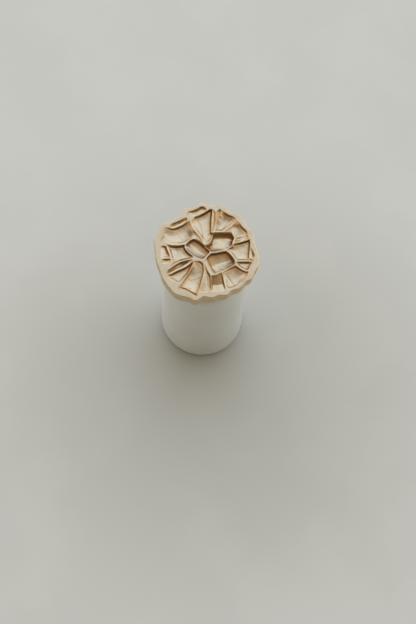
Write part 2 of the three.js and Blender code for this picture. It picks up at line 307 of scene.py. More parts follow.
# %% [markdown]
# A turned piece is a profile of radius and height, carried round the axis. Real edges are never
# knife sharp, so each corner of the profile is rounded by its own small radius. A rounded corner
# also needs a line of points just beside it, or smooth shading would bend the flat faces.


# %% Turned pieces
ARC = np.linspace(0, 1, 7)
BESIDE_ARC = 0.06
NEAR_AXIS = 0.01


def rounded_profile(corners):
    """Corner points of radius, height and rounding become a line of points. A corner is cut back
    by its rounding along both sides, and a quadratic curve with the corner as its handle joins
    the two cuts: (1-t)^2 a + 2t(1-t) corner + t^2 b. The second result tells a material where the
    edges are: it is sin(pi t) on the curves and 0 elsewhere."""
    line, edge = [], []
    for i, (radius, height, rounding) in enumerate(corners):
        here = np.array([radius, height], float)
        if rounding == 0:
            line.append(here)
            edge.append(0)
            continue
        before = np.array(corners[i - 1][:2], float) - here
        after = np.array(corners[(i + 1) % len(corners)][:2], float) - here
        start = here + before * rounding / np.linalg.norm(before)
        end = here + after * rounding / np.linalg.norm(after)
        line.append(start + before * BESIDE_ARC / np.linalg.norm(before))
        line.extend((1 - t) ** 2 * start + 2 * t * (1 - t) * here + t ** 2 * end for t in ARC)
        line.append(end + after * BESIDE_ARC / np.linalg.norm(after))
        edge += [0, *np.sin(np.pi * ARC), 0]
    return np.array(line), np.array(edge, float)


def turned_piece(name, corners, columns, body, ring=False):
    """Each profile point becomes a ring of points. A ring's profile closes on itself. Any other
    starts and ends near the axis, and is capped there."""
    profile, edge = rounded_profile(corners)
    angle = np.arange(columns) * 2 * np.pi / columns
    points = around_axis(profile[:, :1], angle, profile[:, 1:])
    faces = (looped_faces if ring else capped_faces)(len(profile), columns)
    piece = mesh_piece(name, points, faces, body)
    mark(piece, "edge", np.repeat(edge, columns))
    return piece


# %% [markdown]
# The die is a brass plate with a scalloped edge. Its outline is a list of crests and notches with
# cosine waves between them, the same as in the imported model. Radii are in percent of the die's
# radius, and the frame says how large one percent is.

# %% The die's outline
OUTLINE_WAVES = np.array([
    (18, 95), (32, 99), (41, 97.5), (57, 102), (66, 99), (77, 105.5), (88, 102), (101, 105.5),
    (113, 98.5), (119, 102.5), (131, 93), (140, 96), (153, 106), (159, 104), (169, 104.5),
    (188, 98.5), (207, 97), (220, 100), (231, 102), (239, 104), (256, 99), (262, 101),
    (272, 90), (281, 92.5), (290, 90), (299, 94), (306, 91), (318, 95.5), (326, 94.5),
    (334, 99.5), (341, 98.5), (354, 101.5),
], float)
OUTLINE_SAMPLES = 3600


def outline_percent(angle):
    """Between a crest and a notch the radius follows (1 - cos(pi t)) / 2 of the step."""
    degrees = np.degrees(angle) % 360
    angles = np.append(OUTLINE_WAVES[:, 0], OUTLINE_WAVES[0, 0] + 360)
    radii = np.append(OUTLINE_WAVES[:, 1], OUTLINE_WAVES[0, 1])
    degrees = np.where(degrees < angles[0], degrees + 360, degrees)
    after = np.searchsorted(angles, degrees, side="right").clip(1, len(angles) - 1)
    share = (degrees - angles[after - 1]) / (angles[after] - angles[after - 1])
    step = radii[after] - radii[after - 1]
    return radii[after - 1] + step * (1 - np.cos(np.pi * share)) / 2


around = np.linspace(0, 2 * np.pi, OUTLINE_SAMPLES, endpoint=False)
drawn_width = np.ptp(outline_percent(around) * np.cos(around))
PERCENT = (die_high.x - die_low.x) / drawn_width
print("one percent of the die's radius is", round(PERCENT, 4), "mm")

# %% [markdown]
# The flower is cut into the plate, as it is on a real die, and prints raised in the wax. Each
# petal is a pocket: its floor, and its corners in percent of the die's radius. The three curled
# petals at the heart and the lower right one are troughs, each with a valley that runs along it.
# Two narrow pockets are turned edges: the lower left petal's tip and the lower curl's lip. A crease
# is a fold or a fine line in one petal: its height, its width and its points. Such a list is easier
# to correct, corner by corner, than a sculpted mesh.

# %% The flower's petals
POCKETS = [
    ("left_top", (0.8, 0.5, 1.4, 0.85, 2.8, 1.2), [
        (-89.5, 15), (-81, 15.5), (-78.5, 13), (-75.5, 10.5), (-68, 10), (-56.5, 11), (-44, 14),
        (-40, 17.5), (-34, 23), (-28.5, 26.5), (-23.5, 25.5), (-15.5, 21.5), (-8.5, 16.5),
        (-11.5, 24.5), (-16, 30.5), (-22.5, 36), (-30, 43.5), (-35.5, 52), (-38.5, 60.5),
        (-38, 63.5), (-41.5, 62.5), (-45, 59), (-51.5, 53), (-58.5, 48), (-66, 44), (-71, 42),
        (-76.5, 43.5), (-83.5, 44), (-86, 42.5), (-88.5, 26), (-91.5, 16)]),
    ("left_lower", (0.8, 0.4, 1, 0.65, 1.8, 1.8), [
        (-76, 2.5), (-71.5, -6.5), (-67.5, -17.5), (-66, -22.5), (-65.5, -30.5), (-68, -41),
        (-63, -36), (-56, -29), (-49, -23.5), (-38, -19), (-26.5, -15), (-25, -12), (-29.5, -8),
        (-35, -4.5), (-40, 1), (-43.5, 6), (-44.5, 11.5), (-56, 8), (-67.5, 7), (-75.5, 8),
        (-79, 10.5)]),
    ("left_sliver_upper", (0.4, 0.2, 0.6, 0.7, 1.2, 1.5), [
        (-88, -8), (-85, -21), (-68.5, -19), (-71.5, -11.5), (-76, -3), (-79.5, 5), (-89, 4)]),
    ("left_sliver_lower", (0.35, 0.1, 0.5, 0.95, 0.9, 1), [
        (-80, -33), (-75, -32), (-66.5, -26.5), (-67, -20.5), (-74, -21), (-82, -22.5),
        (-85, -28)]),
    ("left_fan_upper", (0.5, 0.2, 0.5, 0.8, 0.9, 1.3), [
        (-69.5, -53), (-61.5, -48.5), (-54.5, -43), (-46.5, -38), (-37, -31), (-30, -24.5),
        (-26, -19.5), (-26.5, -17), (-38, -21), (-49, -25.5), (-56, -31), (-63, -37.5),
        (-69.5, -44.5), (-73.5, -52.5)]),
    ("left_fan_lower", (0.55, 0.3, 0.8, 0.55, 1.3, 1.5), [
        (-66, -60), (-56, -64.5), (-48, -67.5), (-44.5, -67.5), (-40.5, -62), (-34, -50.5),
        (-29, -38), (-25, -26), (-25.5, -21.5), (-29, -26), (-36.5, -34), (-46.5, -40.5),
        (-54.5, -45), (-61.5, -50.5), (-70, -54.5)]),
    ("lower_left", (1.05, 0.8, 4.2, 0.45, 2.6, 1.6), [
        (-24.5, -28), (-27.5, -38.5), (-33, -51), (-38.5, -62.5), (-41.5, -69.5), (-47.5, -76.5),
        (-43, -81.5), (-36, -77), (-32, -77), (-24, -80.5), (-16.5, -85), (-10.5, -88), (-9, -80),
        (-7, -71.5), (-5.5, -61), (-3.5, -48.5), (-2.5, -38), (-5, -24), (-10.5, -19.5),
        (-17, -19.5), (-24, -19)]),
    ("lower_left_edge", (0.36, 0, 0.3, 0.3, 0.5, 1), [
        (-43.5, -78), (-38, -80), (-32.5, -81), (-24.5, -85), (-16.5, -89), (-9.5, -91.5),
        (-10.5, -88), (-16, -85), (-24, -81), (-32, -77), (-37, -77), (-43.5, -75)]),
    ("lower_middle", (0.45, 0.4, 1, 0.45, 1.2, 1.5), [
        (-0.5, -38), (-1.5, -48.5), (-3, -60.5), (-5, -71), (-6.5, -80.5), (6, -80), (15.5, -76),
        (13.5, -61), (11, -47.5), (7, -41), (1.5, -32.5), (-2.5, -24)]),
    ("right_fan_lower", (0.95, 0.8, 2.2, 0.7, 2.8, 1.6), [
        (37, -49.5), (40, -60), (44, -70.5), (52, -68), (61, -64), (68, -58), (76, -48),
        (81, -37.5), (82, -31), (77.5, -31), (69.5, -28.5), (62.5, -24.5), (56, -20.5),
        (53.5, -23), (46.5, -27.5), (39.5, -32.5), (33, -37.5)]),
    ("right_fan_upper", (0.45, 0.2, 0.5, 0.8, 0.9, 1.3), [
        (57, -18), (62.5, -22.5), (69.5, -26.5), (77.5, -29), (81, -29.5), (81.5, -26.5),
        (85, -18.5), (88.5, -11.5), (82.5, -10.5), (70, -11.5), (57.5, -13)]),
    ("right_sliver_lower", (0.35, 0.1, 0.3, 0.95, 0.7, 1), [
        (81.5, -8.5), (89, -10), (90.5, -7), (81.5, -3)]),
    ("right_sliver_upper", (0.35, 0.2, 0.5, 0.8, 0.7, 1), [
        (81.5, 11), (81.5, 0.5), (91.5, -3.5), (90.5, 5), (86, 14), (82, 22)]),
    ("right", (0.7, 0.5, 1.2, 0.7, 1.8, 1.7), [
        (46.5, 20), (44.5, 15.5), (36.5, 10.5), (39.5, 8.5), (45, 4), (49.5, -1), (54.5, -7.5),
        (56.5, -11), (68, -10), (81, -8.5), (80.5, -2.5), (80.5, 10), (80.5, 22.5), (80, 31),
        (79, 36.5), (76, 34), (67, 30), (55.5, 25.5), (47, 22.5)]),
    ("right_top", (0.95, 0.7, 1.8, 0.72, 2.6, 1.2), [
        (51, 71.5), (46.5, 64.5), (39.5, 57.5), (33, 52), (30.5, 47.5), (36.5, 48.5), (43.5, 48),
        (47, 42.5), (49.5, 35.5), (48, 29.5), (48, 24.5), (55.5, 27.5), (66.5, 32), (78, 38),
        (77, 39.5), (74, 45), (73.5, 50.5), (69.5, 55), (62.5, 61), (57, 68.5), (51.5, 74.5)]),
    ("top_right", (1, 0.7, 1.7, 0.8, 3, 1.8), [
        (16, 81.5), (12, 70.5), (10, 58.5), (8.5, 45.5), (17, 46.5), (27.5, 48), (32, 53),
        (38.5, 58.5), (45, 65.5), (49.5, 72.5), (50.5, 75.5), (45, 80.5), (39, 82), (33, 84),
        (25, 89), (21, 91.5), (18.5, 91.5)]),
    ("top_sliver", (0.3, 0.2, 0.5, 0.8, 0.8, 1.3), [
        (9.5, 59.5), (11, 69.5), (14.5, 78.5), (18, 87.5), (18.5, 92.5), (16.5, 94.5), (12, 89.5),
        (9, 84.5)]),
    ("top_narrow", (0.32, 0.2, 0.5, 0.8, 0.8, 1.3), [
        (3, 69), (4.5, 44.5), (7.5, 45.5), (9, 57), (9, 74), (8, 85), (5, 90.5), (2, 92)]),
    ("top", (0.85, 0.5, 1.2, 0.8, 3, 1.8), [
        (-33.5, 55.5), (-28, 45.5), (-20.5, 37.5), (-14, 30), (-9.5, 23.5), (-6.5, 15.5),
        (-3.5, 17), (1.5, 20.5), (4.5, 25.5), (7, 33.5), (8, 41.5), (3.5, 42.5), (3, 52), (2, 69),
        (1.5, 91.5), (-0.5, 92), (-4.5, 90), (-7.5, 87), (-13.5, 82), (-22.5, 75.5), (-30.5, 72),
        (-33, 67.5), (-36, 63)]),
    ("top_left_sliver_lower", (0.5, 0, 0.4, 0.95, 1.3, 1), [
        (-76.5, 44.5), (-71, 43), (-66, 45), (-58.5, 49), (-51.5, 54), (-45, 60), (-44, 65),
        (-46.5, 68), (-61.5, 59), (-71.5, 53), (-77.5, 46.5)]),
    ("top_left_sliver_upper", (0.5, 0, 0.5, 0.95, 1.3, 1), [
        (-45.5, 73.5), (-42.5, 77.5), (-39, 77), (-36, 73.5), (-28, 74.5), (-21, 79),
        (-13.5, 84.5), (-8, 88), (-12.5, 93.5), (-17.5, 95.5), (-22.5, 93.5), (-27.5, 89),
        (-35, 84.5), (-40.5, 83), (-45, 81), (-47, 75)]),
    ("lower_curl_lip", (0.38, 0, 1, 1, 0.95, 1), [
        (0.5, -24.5), (5, -32), (12, -42.5), (16, -44), (19.5, -40.5), (9.5, -26.5), (1, -11),
        (-3, -16)]),
]
CUPS = [
    ("lower_right", (0.74, -0.05, 0.93, 1, 0.98, 1, 282, 0.55), [
        (14.5, -61), (17, -78), (40.5, -74), (41.5, -69.5), (38, -59.5), (35, -48.5),
        (31.5, -37.5), (27, -40), (22.5, -43.5), (16, -46), (12, -46)]),
    ("left_curl", (1.02, 0.12, 0.32, 1.3, 1, 1.25, 240, 0.55), [
        (-42.5, 5), (-38, 0.5), (-31, -5), (-22, -10.5), (-12, -14), (-9, -15), (-6, -13),
        (1.5, -2.5), (5, 3), (-1.5, 9.5), (-7.5, 15), (-15, 20.5), (-23.5, 24.5), (-28, 25.5),
        (-34, 22), (-39.5, 15.5), (-43, 9)]),
    ("right_curl", (1.2, 0.35, 0.8, 2, 1, 1.4, 276, 0.55), [
        (8, 33), (6, 25), (2.5, 19), (-3, 15.5), (-6, 14), (-1, 10), (6.5, 3.5), (9.5, 2.5),
        (21, 5.5), (32, 9), (36, 11.5), (43.5, 16), (46, 22), (46.5, 29.5), (48.5, 36),
        (45.5, 42.5), (42, 46.5), (8.5, 43)]),
    ("lower_curl", (1.2, 0, 0.45, 1.1, 1, 1.25, 289, 0.55), [
        (9.5, -26.5), (19, -40.5), (22, -41), (30, -35.5), (39.5, -30), (46.5, -25.5),
        (52.5, -22), (55, -19.5), (55, -15.5), (53, -9.5), (48, -3), (42.5, 2.5), (37, 6.5),
        (32.5, 6), (21, 2), (8, -1.5), (3, -7.5), (1, -11)]),
]
CREASES = {
    "left_top": [
        (-0.5, 1.3, [(-38.5, 62.5), (-34.5, 48)]),
        (0.35, 1, [(-45.5, 14), (-35, 24.5), (-27.5, 28.5)]),
        (-0.05, 0.13, [(-59, 38), (-52.5, 29), (-45.5, 20.5)]),
        (0.3, 0.3, [(-87, 20.5), (-85.5, 31), (-83, 40)]),
    ],
    "top": [
        (0.1, 0.13, [(-29.5, 70), (-18.5, 57.5), (-12.5, 42), (-8, 25.5)]),
        (-0.06, 0.15, [(-8, 68), (-6, 45), (-5.5, 24)]),
    ],
    "top_right": [
        (0.1, 0.13, [(41.5, 76.5), (33, 66.5), (26, 56.5), (21.5, 48)]),
        (-0.05, 0.13, [(23, 77), (18.5, 62.5), (16, 49.5)]),
    ],
    "lower_middle": [
        (0.08, 0.13, [(-0.5, -44), (1, -60.5)]),
        (0.08, 0.13, [(5, -49.5), (7.5, -66.5)]),
    ],
    "right_fan_lower": [
        (0.1, 0.13, [(43.5, -43.5), (48.5, -49.5), (57, -57.5)]),
        (0.1, 0.13, [(78, -35.5), (69, -47), (63, -60.5)]),
    ],
    "right_top": [
        (0.07, 0.15, [(50, 36), (60.5, 38), (73.5, 41.5)]),
        (-0.05, 0.13, [(50.5, 39), (64, 42.5)]),
    ],
    "left_sliver_upper": [
        (0.08, 0.13, [(-87, 0), (-85, -17)]),
        (0.08, 0.13, [(-80.5, 0), (-76, -16.5)]),
    ],
    "lower_left": [
        (-0.05, 0.13, [(-26, -57), (-15.5, -52.5), (-6.5, -47)]),
    ],
    "left_fan_upper": [
        (0.07, 0.13, [(-67, -41), (-54, -30.5), (-37.5, -22.5)]),
    ],
}
print(len(POCKETS), "pockets,", len(CUPS), "troughs,", len(CREASES), "creased petals")

# %% [markdown]
# How deep a point lies follows from its distances to its petal's sides. The petals lie like
# shingles, so a floor is deepest in the middle and rises to its far sides and its near sides in
# curves of their own, and the wall that faces the window leans back further than the one across
# from it. Boolean cutters would leave flat floors and upright walls, which look stamped out.

# %% Floors and walls
SHINGLE_DIRECTION = np.array([-0.35, -0.94])
GENTLE_FACING = (-0.15, 0.35)
GENTLE_LEAN = 0.75
STEEP_LEAN = 0.22
OVERCUT = 0.08
WALL_SHADE_REACH = 1.1
WALL_SHADE_LEAST = 0.2
GROOVE_WIDTH = 0.1
GROOVE_DEPTH = 0.09
BLEND_POWER = 8
LEAST_DISTANCE = 0.001
CORNER_CUT = 0.1


def softened(corners):
    """Each corner is replaced by two points, a share of the way along its two sides."""
    after = np.roll(corners, -1, axis=0)
    near = corners + (after - corners) * CORNER_CUT
    far = after + (corners - after) * CORNER_CUT
    return np.stack([near, far], axis=1).reshape(-1, 2)


def side_distances(x, y, corners):
    """The distance of every point to every side of a polygon: the point is dropped onto the
    side's line, and held between the side's two ends."""
    start = corners
    along = np.roll(corners, -1, axis=0) - corners
    dx, dy = x[:, None] - start[:, 0], y[:, None] - start[:, 1]
    share = ((dx * along[:, 0] + dy * along[:, 1]) / (along ** 2).sum(1)).clip(0, 1)
    return np.hypot(dx - share * along[:, 0], dy - share * along[:, 1])


def inside(x, y, corners):
    """A point is inside where a line to its right crosses the outline an odd number of times."""
    x0, y0 = corners[:, 0], corners[:, 1]
    x1, y1 = np.roll(x0, -1), np.roll(y0, -1)
    spans = (y0 > y[:, None]) != (y1 > y[:, None])
    height = np.where(y1 == y0, 1, y1 - y0)
    crossing = x0 + (y[:, None] - y0) * (x1 - x0) / height
    return (spans & (x[:, None] < crossing)).sum(1) % 2 == 1


def rise(value, low, high):
    """0 up to low, 1 from high on, and 3t^2 - 2t^3 between them."""
    t = np.clip((value - low) / (high - low), 0, 1)
    return t * t * (3 - 2 * t)


def facing(corners, direction):
    """How far each side's outward direction agrees with a direction, from -1 to 1. Outward is a
    quarter turn to the right of the side: (x, y) becomes (y, -x)."""
    along = np.roll(corners, -1, axis=0) - corners
    outward = np.stack([along[:, 1], -along[:, 0]], axis=-1)
    outward /= np.linalg.norm(outward, axis=1)[:, None]
    return outward @ direction


def wall_share(x, y, sides, lean, corners):
    """The nearest wall falls in a straight line: 0 just outside the petal, 1 from its foot on."""
    within = inside(x, y, corners)
    reach = np.where(within[:, None], sides, -sides) + OVERCUT
    return (reach / lean).min(1).clip(0, 1)


def bowl(distance, width, curve):
    """(1 - distance / width) ^ curve, and nothing beyond the width."""
    return (1 - distance / width).clip(0, 1) ** curve


def smooth_least(distances):
    """(the sum of d^-8) ^ (-1/8): close to the least distance, but without a sharp change."""
    return ((distances + LEAST_DISTANCE) ** -BLEND_POWER).sum(1) ** (-1 / BLEND_POWER)


def pocket_depth(x, y, floor, corners):
    """Inside the outline the floor lies at its full depth, and is lifted towards its far sides
    and its near sides by their own bowls. A share of 1 is a side whose wall leans back gently, and
    0 one with a steep wall. At the foot of a steep wall the graver's corner leaves a fine groove:
    exp(-(distance / width)^2)."""
    depth, far_lift, far_width, near_lift, near_width, curve = floor
    shares = rise(facing(corners, SHINGLE_DIRECTION), *GENTLE_FACING)
    sides = side_distances(x, y, corners)
    from_far = smooth_least(sides[:, shares < 0.5])
    from_near = smooth_least(sides[:, shares >= 0.5])
    lifted = far_lift * bowl(from_far, far_width, curve)
    lifted += near_lift * bowl(from_near, near_width, curve)
    lean = STEEP_LEAN + (GENTLE_LEAN - STEEP_LEAN) * shares
    wall = wall_share(x, y, sides, lean, corners)
    beyond_foot = (sides - lean - GROOVE_WIDTH) / GROOVE_WIDTH
    groove = GROOVE_DEPTH * (np.exp(-beyond_foot ** 2) * (1 - shares)).max(1)
    # The second result is painted shade: a brown that spreads over the floor from the foot of each
    # steep wall, the walls that face away from the window.
    reach_in = WALL_SHADE_REACH * min(WALL_SHADE_LEAST + (1 - WALL_SHADE_LEAST) * depth, 1)
    wall_shade = ((1 - (sides - lean) / reach_in).clip(0, 1) ** 2 * (1 - shares)).max(1)
    cut = depth * (1 - lifted).clip(0, 1) + groove * min(depth, 1)
    return cut * wall, np.where(wall > 0, wall_shade, 0)


def cup_depth(x, y, floor, corners):
    """A curled petal is a trough. A share runs across it from -1 at its near sides to 1 at its far
    sides, and u is that share measured from the valley. The floor is depth * (1 - lift * u^power),
    with a lift and a power of their own on the far side and the near side."""
    depth, valley, far_lift, far_power, near_lift, near_power, near_degrees, facing_least = floor
    turn = math.radians(near_degrees)
    nearness = facing(corners, np.array([math.cos(turn), math.sin(turn)]))
    sides = side_distances(x, y, corners)
    from_far = smooth_least(sides[:, nearness < -facing_least])
    from_near = smooth_least(sides[:, nearness > facing_least])
    share = (from_near - from_far) / (from_near + from_far)
    beyond = share > valley
    u = np.where(beyond, (share - valley) / (1 - valley), (valley - share) / (1 + valley))
    curve = 1 - np.where(beyond, far_lift * u ** far_power, near_lift * u ** near_power)
    wall = wall_share(x, y, sides, STEEP_LEAN, corners)
    # The second result is painted shade over the trough's far side, which faces away from the
    # window.
    return depth * curve * wall, np.where(beyond & (wall > 0), u, 0)


# %% [markdown]
# An engraver's hand shows in small marks: creases, and faint strokes that fan out from the heart.
# A bump texture could draw them as well, but marks in the mesh are still there when the shape is
# exported. Both fade out where the cut is shallow, and where pockets overlap, the deepest counts.

# %% Creases and strokes
CREASE_FADE = (0.1, 0.4)
STROKE_SEED = 7
STROKE_DEPTH = 0.014
STROKE_COUNTS = (45, 120)
STROKE_WAVES = 6
STROKE_DRIFT = 0.7
STROKE_FADE = (0.15, 0.45)


def graver_strokes(x, y):
    """Strokes fan out from the flower's heart: the mean of sin(count * angle + phase + drift *
    radius) over a few waves, whose counts, phases and drifts are drawn from a fixed seed."""
    draw = np.random.default_rng(STROKE_SEED)
    angle, radius = np.arctan2(y, x), np.hypot(x, y)
    counts = draw.integers(*STROKE_COUNTS, STROKE_WAVES)
    phases = draw.uniform(0, 2 * np.pi, STROKE_WAVES)
    drifts = draw.uniform(-STROKE_DRIFT, STROKE_DRIFT, STROKE_WAVES)
    waves = [np.sin(c * angle + p + d * radius) for c, p, d in zip(counts, phases, drifts)]
    return np.mean(waves, 0)


def carved_depth(x, y):
    """How deep the flower is cut at each point, the deepest of all the pockets, and how close the
    point is to a steep wall's foot, which the brass paints as shade. Each crease adds height *
    exp(-(distance / width)^2)."""
    depth, wall_shade = np.zeros_like(x), np.zeros_like(x)
    cuts = [(pocket_depth, *pocket) for pocket in POCKETS] + [(cup_depth, *cup) for cup in CUPS]
    for cut_depth, name, floor, outline in cuts:
        corners = softened(np.array(outline, float) * PERCENT)
        low, high = corners.min(0) - OVERCUT, corners.max(0) + OVERCUT
        near = np.flatnonzero((x > low[0]) & (x < high[0]) & (y > low[1]) & (y < high[1]))
        cut, close = cut_depth(x[near], y[near], floor, corners)
        fades = rise(cut, *CREASE_FADE)
        for height, width, line in CREASES.get(name, []):
            ends = np.array(line, float) * PERCENT
            distance = side_distances(x[near], y[near], ends)[:, :-1].min(1)
            cut += height * np.exp(-(distance / width) ** 2) * fades
        depth[near] = np.maximum(depth[near], cut)
        wall_shade[near] = np.maximum(wall_shade[near], close)
    depth += STROKE_DEPTH * graver_strokes(x, y) * rise(depth, *STROKE_FADE)
    return depth, wall_shade


# %% [markdown]
# The face needs fine, even cells, because it is where the eye rests. A grid of rings and spokes
# would crowd its cells at the centre. Instead a square grid is pressed into a disc: each square
# ring of the grid becomes a round ring with its points evenly spread, and the outline then scales
# every ring. The plate's side goes on from the face's edge as a profile of rings: a rounded upper
# edge, the wall, a rounded lower edge, the underside and the socket for the boss.

# %% The carved die
FACE_CELLS = 290
EDGE_ROUNDING = 0.22
SOCKET_RADIUS = 5.2
EDGE_STEPS = 4
SOCKET_DEPTH = 0.6
FACE_PASSES = 2
CREST_PASSES = 16
CREST_HEIGHT = 0.1


def disc_grid(cells):
    """For a point (a, b) of the square from -1 to 1, the ring's share is the larger of |a| and
    |b|, and its angle is a quarter of pi times the smaller over the larger."""
    line = np.linspace(-1, 1, cells + 1)
    b, a = np.meshgrid(line, line, indexing="ij")
    wide = np.abs(a) >= np.abs(b)
    safe_a, safe_b = np.where(a == 0, 1, a), np.where(b == 0, 1, b)
    angle = np.where(wide, np.pi / 4 * b / safe_a, np.pi / 2 - np.pi / 4 * a / safe_b)
    angle = angle + np.where(np.where(wide, a, b) < 0, np.pi, 0)
    return np.maximum(np.abs(a), np.abs(b)), angle


def edge_loop(cells):
    """The grid's outermost points, anticlockwise from the lower right corner."""
    side = np.arange(cells)
    width = cells + 1
    right_side = side * width + cells
    top_side = cells * width + cells - side
    left_side = (cells - side) * width
    return np.concatenate([right_side, top_side, left_side, side])


def eased(grid, passes):
    """Each point becomes 1/4, 1/2, 1/4 of itself and its neighbours, along rows and columns."""
    for _ in range(passes):
        for axis in (0, 1):
            before = np.roll(grid, 1, axis)
            after = np.roll(grid, -1, axis)
            grid = 0.25 * before + 0.5 * grid + 0.25 * after
    return grid


def carved_die():
    """The face as a grid of depths, then rings down the plate's side and under it."""
    share, angle = disc_grid(FACE_CELLS)
    reach = outline_percent(angle) * PERCENT - EDGE_ROUNDING
    x, y = (share * reach * f(angle) for f in (np.cos, np.sin))
    depth, wall_shade = carved_depth(x.ravel(), y.ravel())
    depth = eased(depth.reshape(share.shape), FACE_PASSES)
    # Below zero a point lies in a hollow, which the brass darkens as painted shade; above zero it
    # stands out and is rubbed bare.
    crest = (eased(depth, CREST_PASSES) - depth).ravel() / CREST_HEIGHT
    depth = depth.ravel()
    wall_shade = eased(wall_shade.reshape(share.shape), FACE_PASSES).ravel()
    face = np.stack([x.ravel(), y.ravel(), die_high.z - depth], axis=-1)
    quads = grid_quads(FACE_CELLS + 1, FACE_CELLS + 1, False)

    turn = np.linspace(0, np.pi / 2, EDGE_STEPS + 1)[1:]
    drops = [(EDGE_ROUNDING * (1 - np.sin(t)), EDGE_ROUNDING * (1 - np.cos(t))) for t in turn]
    thickness = die_high.z - die_low.z
    drops += [(0, 0.5 * thickness)] + [(inset, thickness - drop) for inset, drop in drops[::-1]]
    drops += [(EDGE_ROUNDING + BESIDE_ARC, thickness)]
    loop = edge_loop(FACE_CELLS)
    ring_angle = angle.ravel()[loop]
    ring_reach = outline_percent(ring_angle) * PERCENT
    rings = [(ring_reach - inset, die_high.z - drop) for inset, drop in drops]
    rings += [(SOCKET_RADIUS + 0 * ring_reach, die_low.z + up) for up in (0, SOCKET_DEPTH)]
    below = np.concatenate([around_axis(radius, ring_angle, z) for radius, z in rings])
    lower = np.arange(len(below)).reshape(-1, len(loop)) + len(face)
    walls = np.concatenate([loop[None], lower])
    side_quads = walls.ravel()[grid_quads(*walls.shape, True)[:, ::-1]]
    faces = quads.tolist() + side_quads.tolist() + [walls[-1][::-1].tolist()]
    die = mesh_piece("engraved_die", np.concatenate([face, below]), faces, "head")
    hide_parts("seal_die")

    # The first mask and the hollows of the second carry painted shade.
    masks = {"wall_shade": (wall_shade, 0), "crest": (crest, 0), "sawn": (0 * crest, 1)}
    for title, (on_face, elsewhere) in masks.items():
        mark(die, title, np.concatenate([on_face, np.full(len(below), elsewhere)]))
    return die


engraved_die = carved_die()

# %% [markdown]
# The handle was turned on a lathe and lacquered: it tapers gently, and has a soft edge at the butt
# and at the shoulder. The boss is a collar that flares where it meets the plate. The washer is a
# ring punched from fibre sheet, so its edges are only slightly rounded. All three are profiles
# carried round the axis. A corner gives its radius, its height and its rounding.

# %% Handle, boss and washer
HANDLE_TOP_RADIUS = 10.1
BUTT_ROUNDING = 1.2
SHOULDER_ROUNDING = 1.9
BROKEN_EDGE = 0.15
HANDLE_COLUMNS = 192
FIT = 0.2
FLANGE_THICKNESS = 1.0
BUSH_RADIUS = 4.5
DRILL_POINT = 2.0
BOSS_RADIUS = 7.5
BOSS_CHAMFER = 0.5
FLARE = 1.3
FLARE_MIDDLE = 0.4
FLARE_ROUNDINGS = (0.3, 0.4)
SPIGOT_ROUNDING = 0.1
BOSS_COLUMNS = 160
WASHER_HOLE = 2.65
WASHER_ROUNDING = 0.12
WASHER_COLUMNS = 128

pocket_radius = insert_high.x + FIT
flange_low = handle_high.z - FLANGE_THICKNESS
bore_low = insert_low.z - FIT

handle = turned_piece("turned_handle", [
    (NEAR_AXIS, 0, 0),
    (handle_high.x, 0, BUTT_ROUNDING),
    (HANDLE_TOP_RADIUS, handle_high.z, SHOULDER_ROUNDING),
    (pocket_radius, handle_high.z, BROKEN_EDGE),
    (pocket_radius, flange_low, 0),
    (BUSH_RADIUS + FIT, flange_low, 0),
    (BUSH_RADIUS + FIT, bore_low, 0),
    (NEAR_AXIS, bore_low - DRILL_POINT, 0),
], HANDLE_COLUMNS, "handle")
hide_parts("handle_body")

boss = turned_piece("turned_boss", [
    (NEAR_AXIS, stud_high.z, 0),
    (stud_high.x + FIT, stud_high.z, 0),
    (stud_high.x + FIT, boss_low.z, BROKEN_EDGE),
    (BOSS_RADIUS - BOSS_CHAMFER, boss_low.z, BROKEN_EDGE),
    (BOSS_RADIUS, boss_low.z + BOSS_CHAMFER, BROKEN_EDGE),
    (BOSS_RADIUS, die_low.z - FLARE, FLARE_ROUNDINGS[0]),
    (BOSS_RADIUS + FLARE_MIDDLE, die_low.z - FLARE_MIDDLE, FLARE_ROUNDINGS[1]),
    (BOSS_RADIUS + FLARE, die_low.z, 0),
    (SOCKET_RADIUS - FIT, die_low.z, 0),
    (SOCKET_RADIUS - FIT, boss_high.z, SPIGOT_ROUNDING),
    (NEAR_AXIS, boss_high.z, 0),
], BOSS_COLUMNS, "head")
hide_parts("die_boss")

washer = turned_piece("fibre_washer", [
    (WASHER_HOLE, washer_low.z, WASHER_ROUNDING),
    (washer_high.x, washer_low.z, WASHER_ROUNDING),
    (washer_high.x, washer_high.z, WASHER_ROUNDING),
    (WASHER_HOLE, washer_high.z, WASHER_ROUNDING),
], WASHER_COLUMNS, "washer", ring=True)
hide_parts("captive_washer")

# %% [markdown]
# A screw thread is one groove wound round a rod. Going up by one pitch while going round once
# leaves it unchanged, so its radius depends only on height / pitch - angle / full turn. A triangle
# wave of that, flattened at the crests and the roots, is the thread. The steel stud and the brass
# bush use the same wave, a fifth of a millimetre apart, so one turns freely in the other.

# %% The thread and the stud
PITCH = 1.0
THREAD_RADIUS = 3.0
THREAD_DEPTH = 0.6
FLAT_SHARE = 0.125
CREST_BAND = 0.2
TIP_CHAMFER = 0.7
RUNOUT_SLOPE = 1.5
NECK_RADIUS = 2.3
NECK_LENGTH = 1.4
NECK_STEP = 0.02
SEAT_ROUNDING = 0.1
HEAD_ROUNDING = 0.2
CAP_RADIUS = 0.3
ROWS_PER_PITCH = 16
THREAD_COLUMNS = 96


def thread_radius(height, angle, crest):
    """crest - depth * (1 - w), where w is 1 on the crest, 0 in the root, and runs straight
    between them over three quarters of each half pitch."""
    turn = (height - stud_low.z) / PITCH - angle / (2 * np.pi)
    wave = 1 - np.abs(2 * (turn - np.floor(turn)) - 1)
    w = ((wave - FLAT_SHARE) / (1 - 2 * FLAT_SHARE)).clip(0, 1)
    return crest - THREAD_DEPTH * (1 - w)


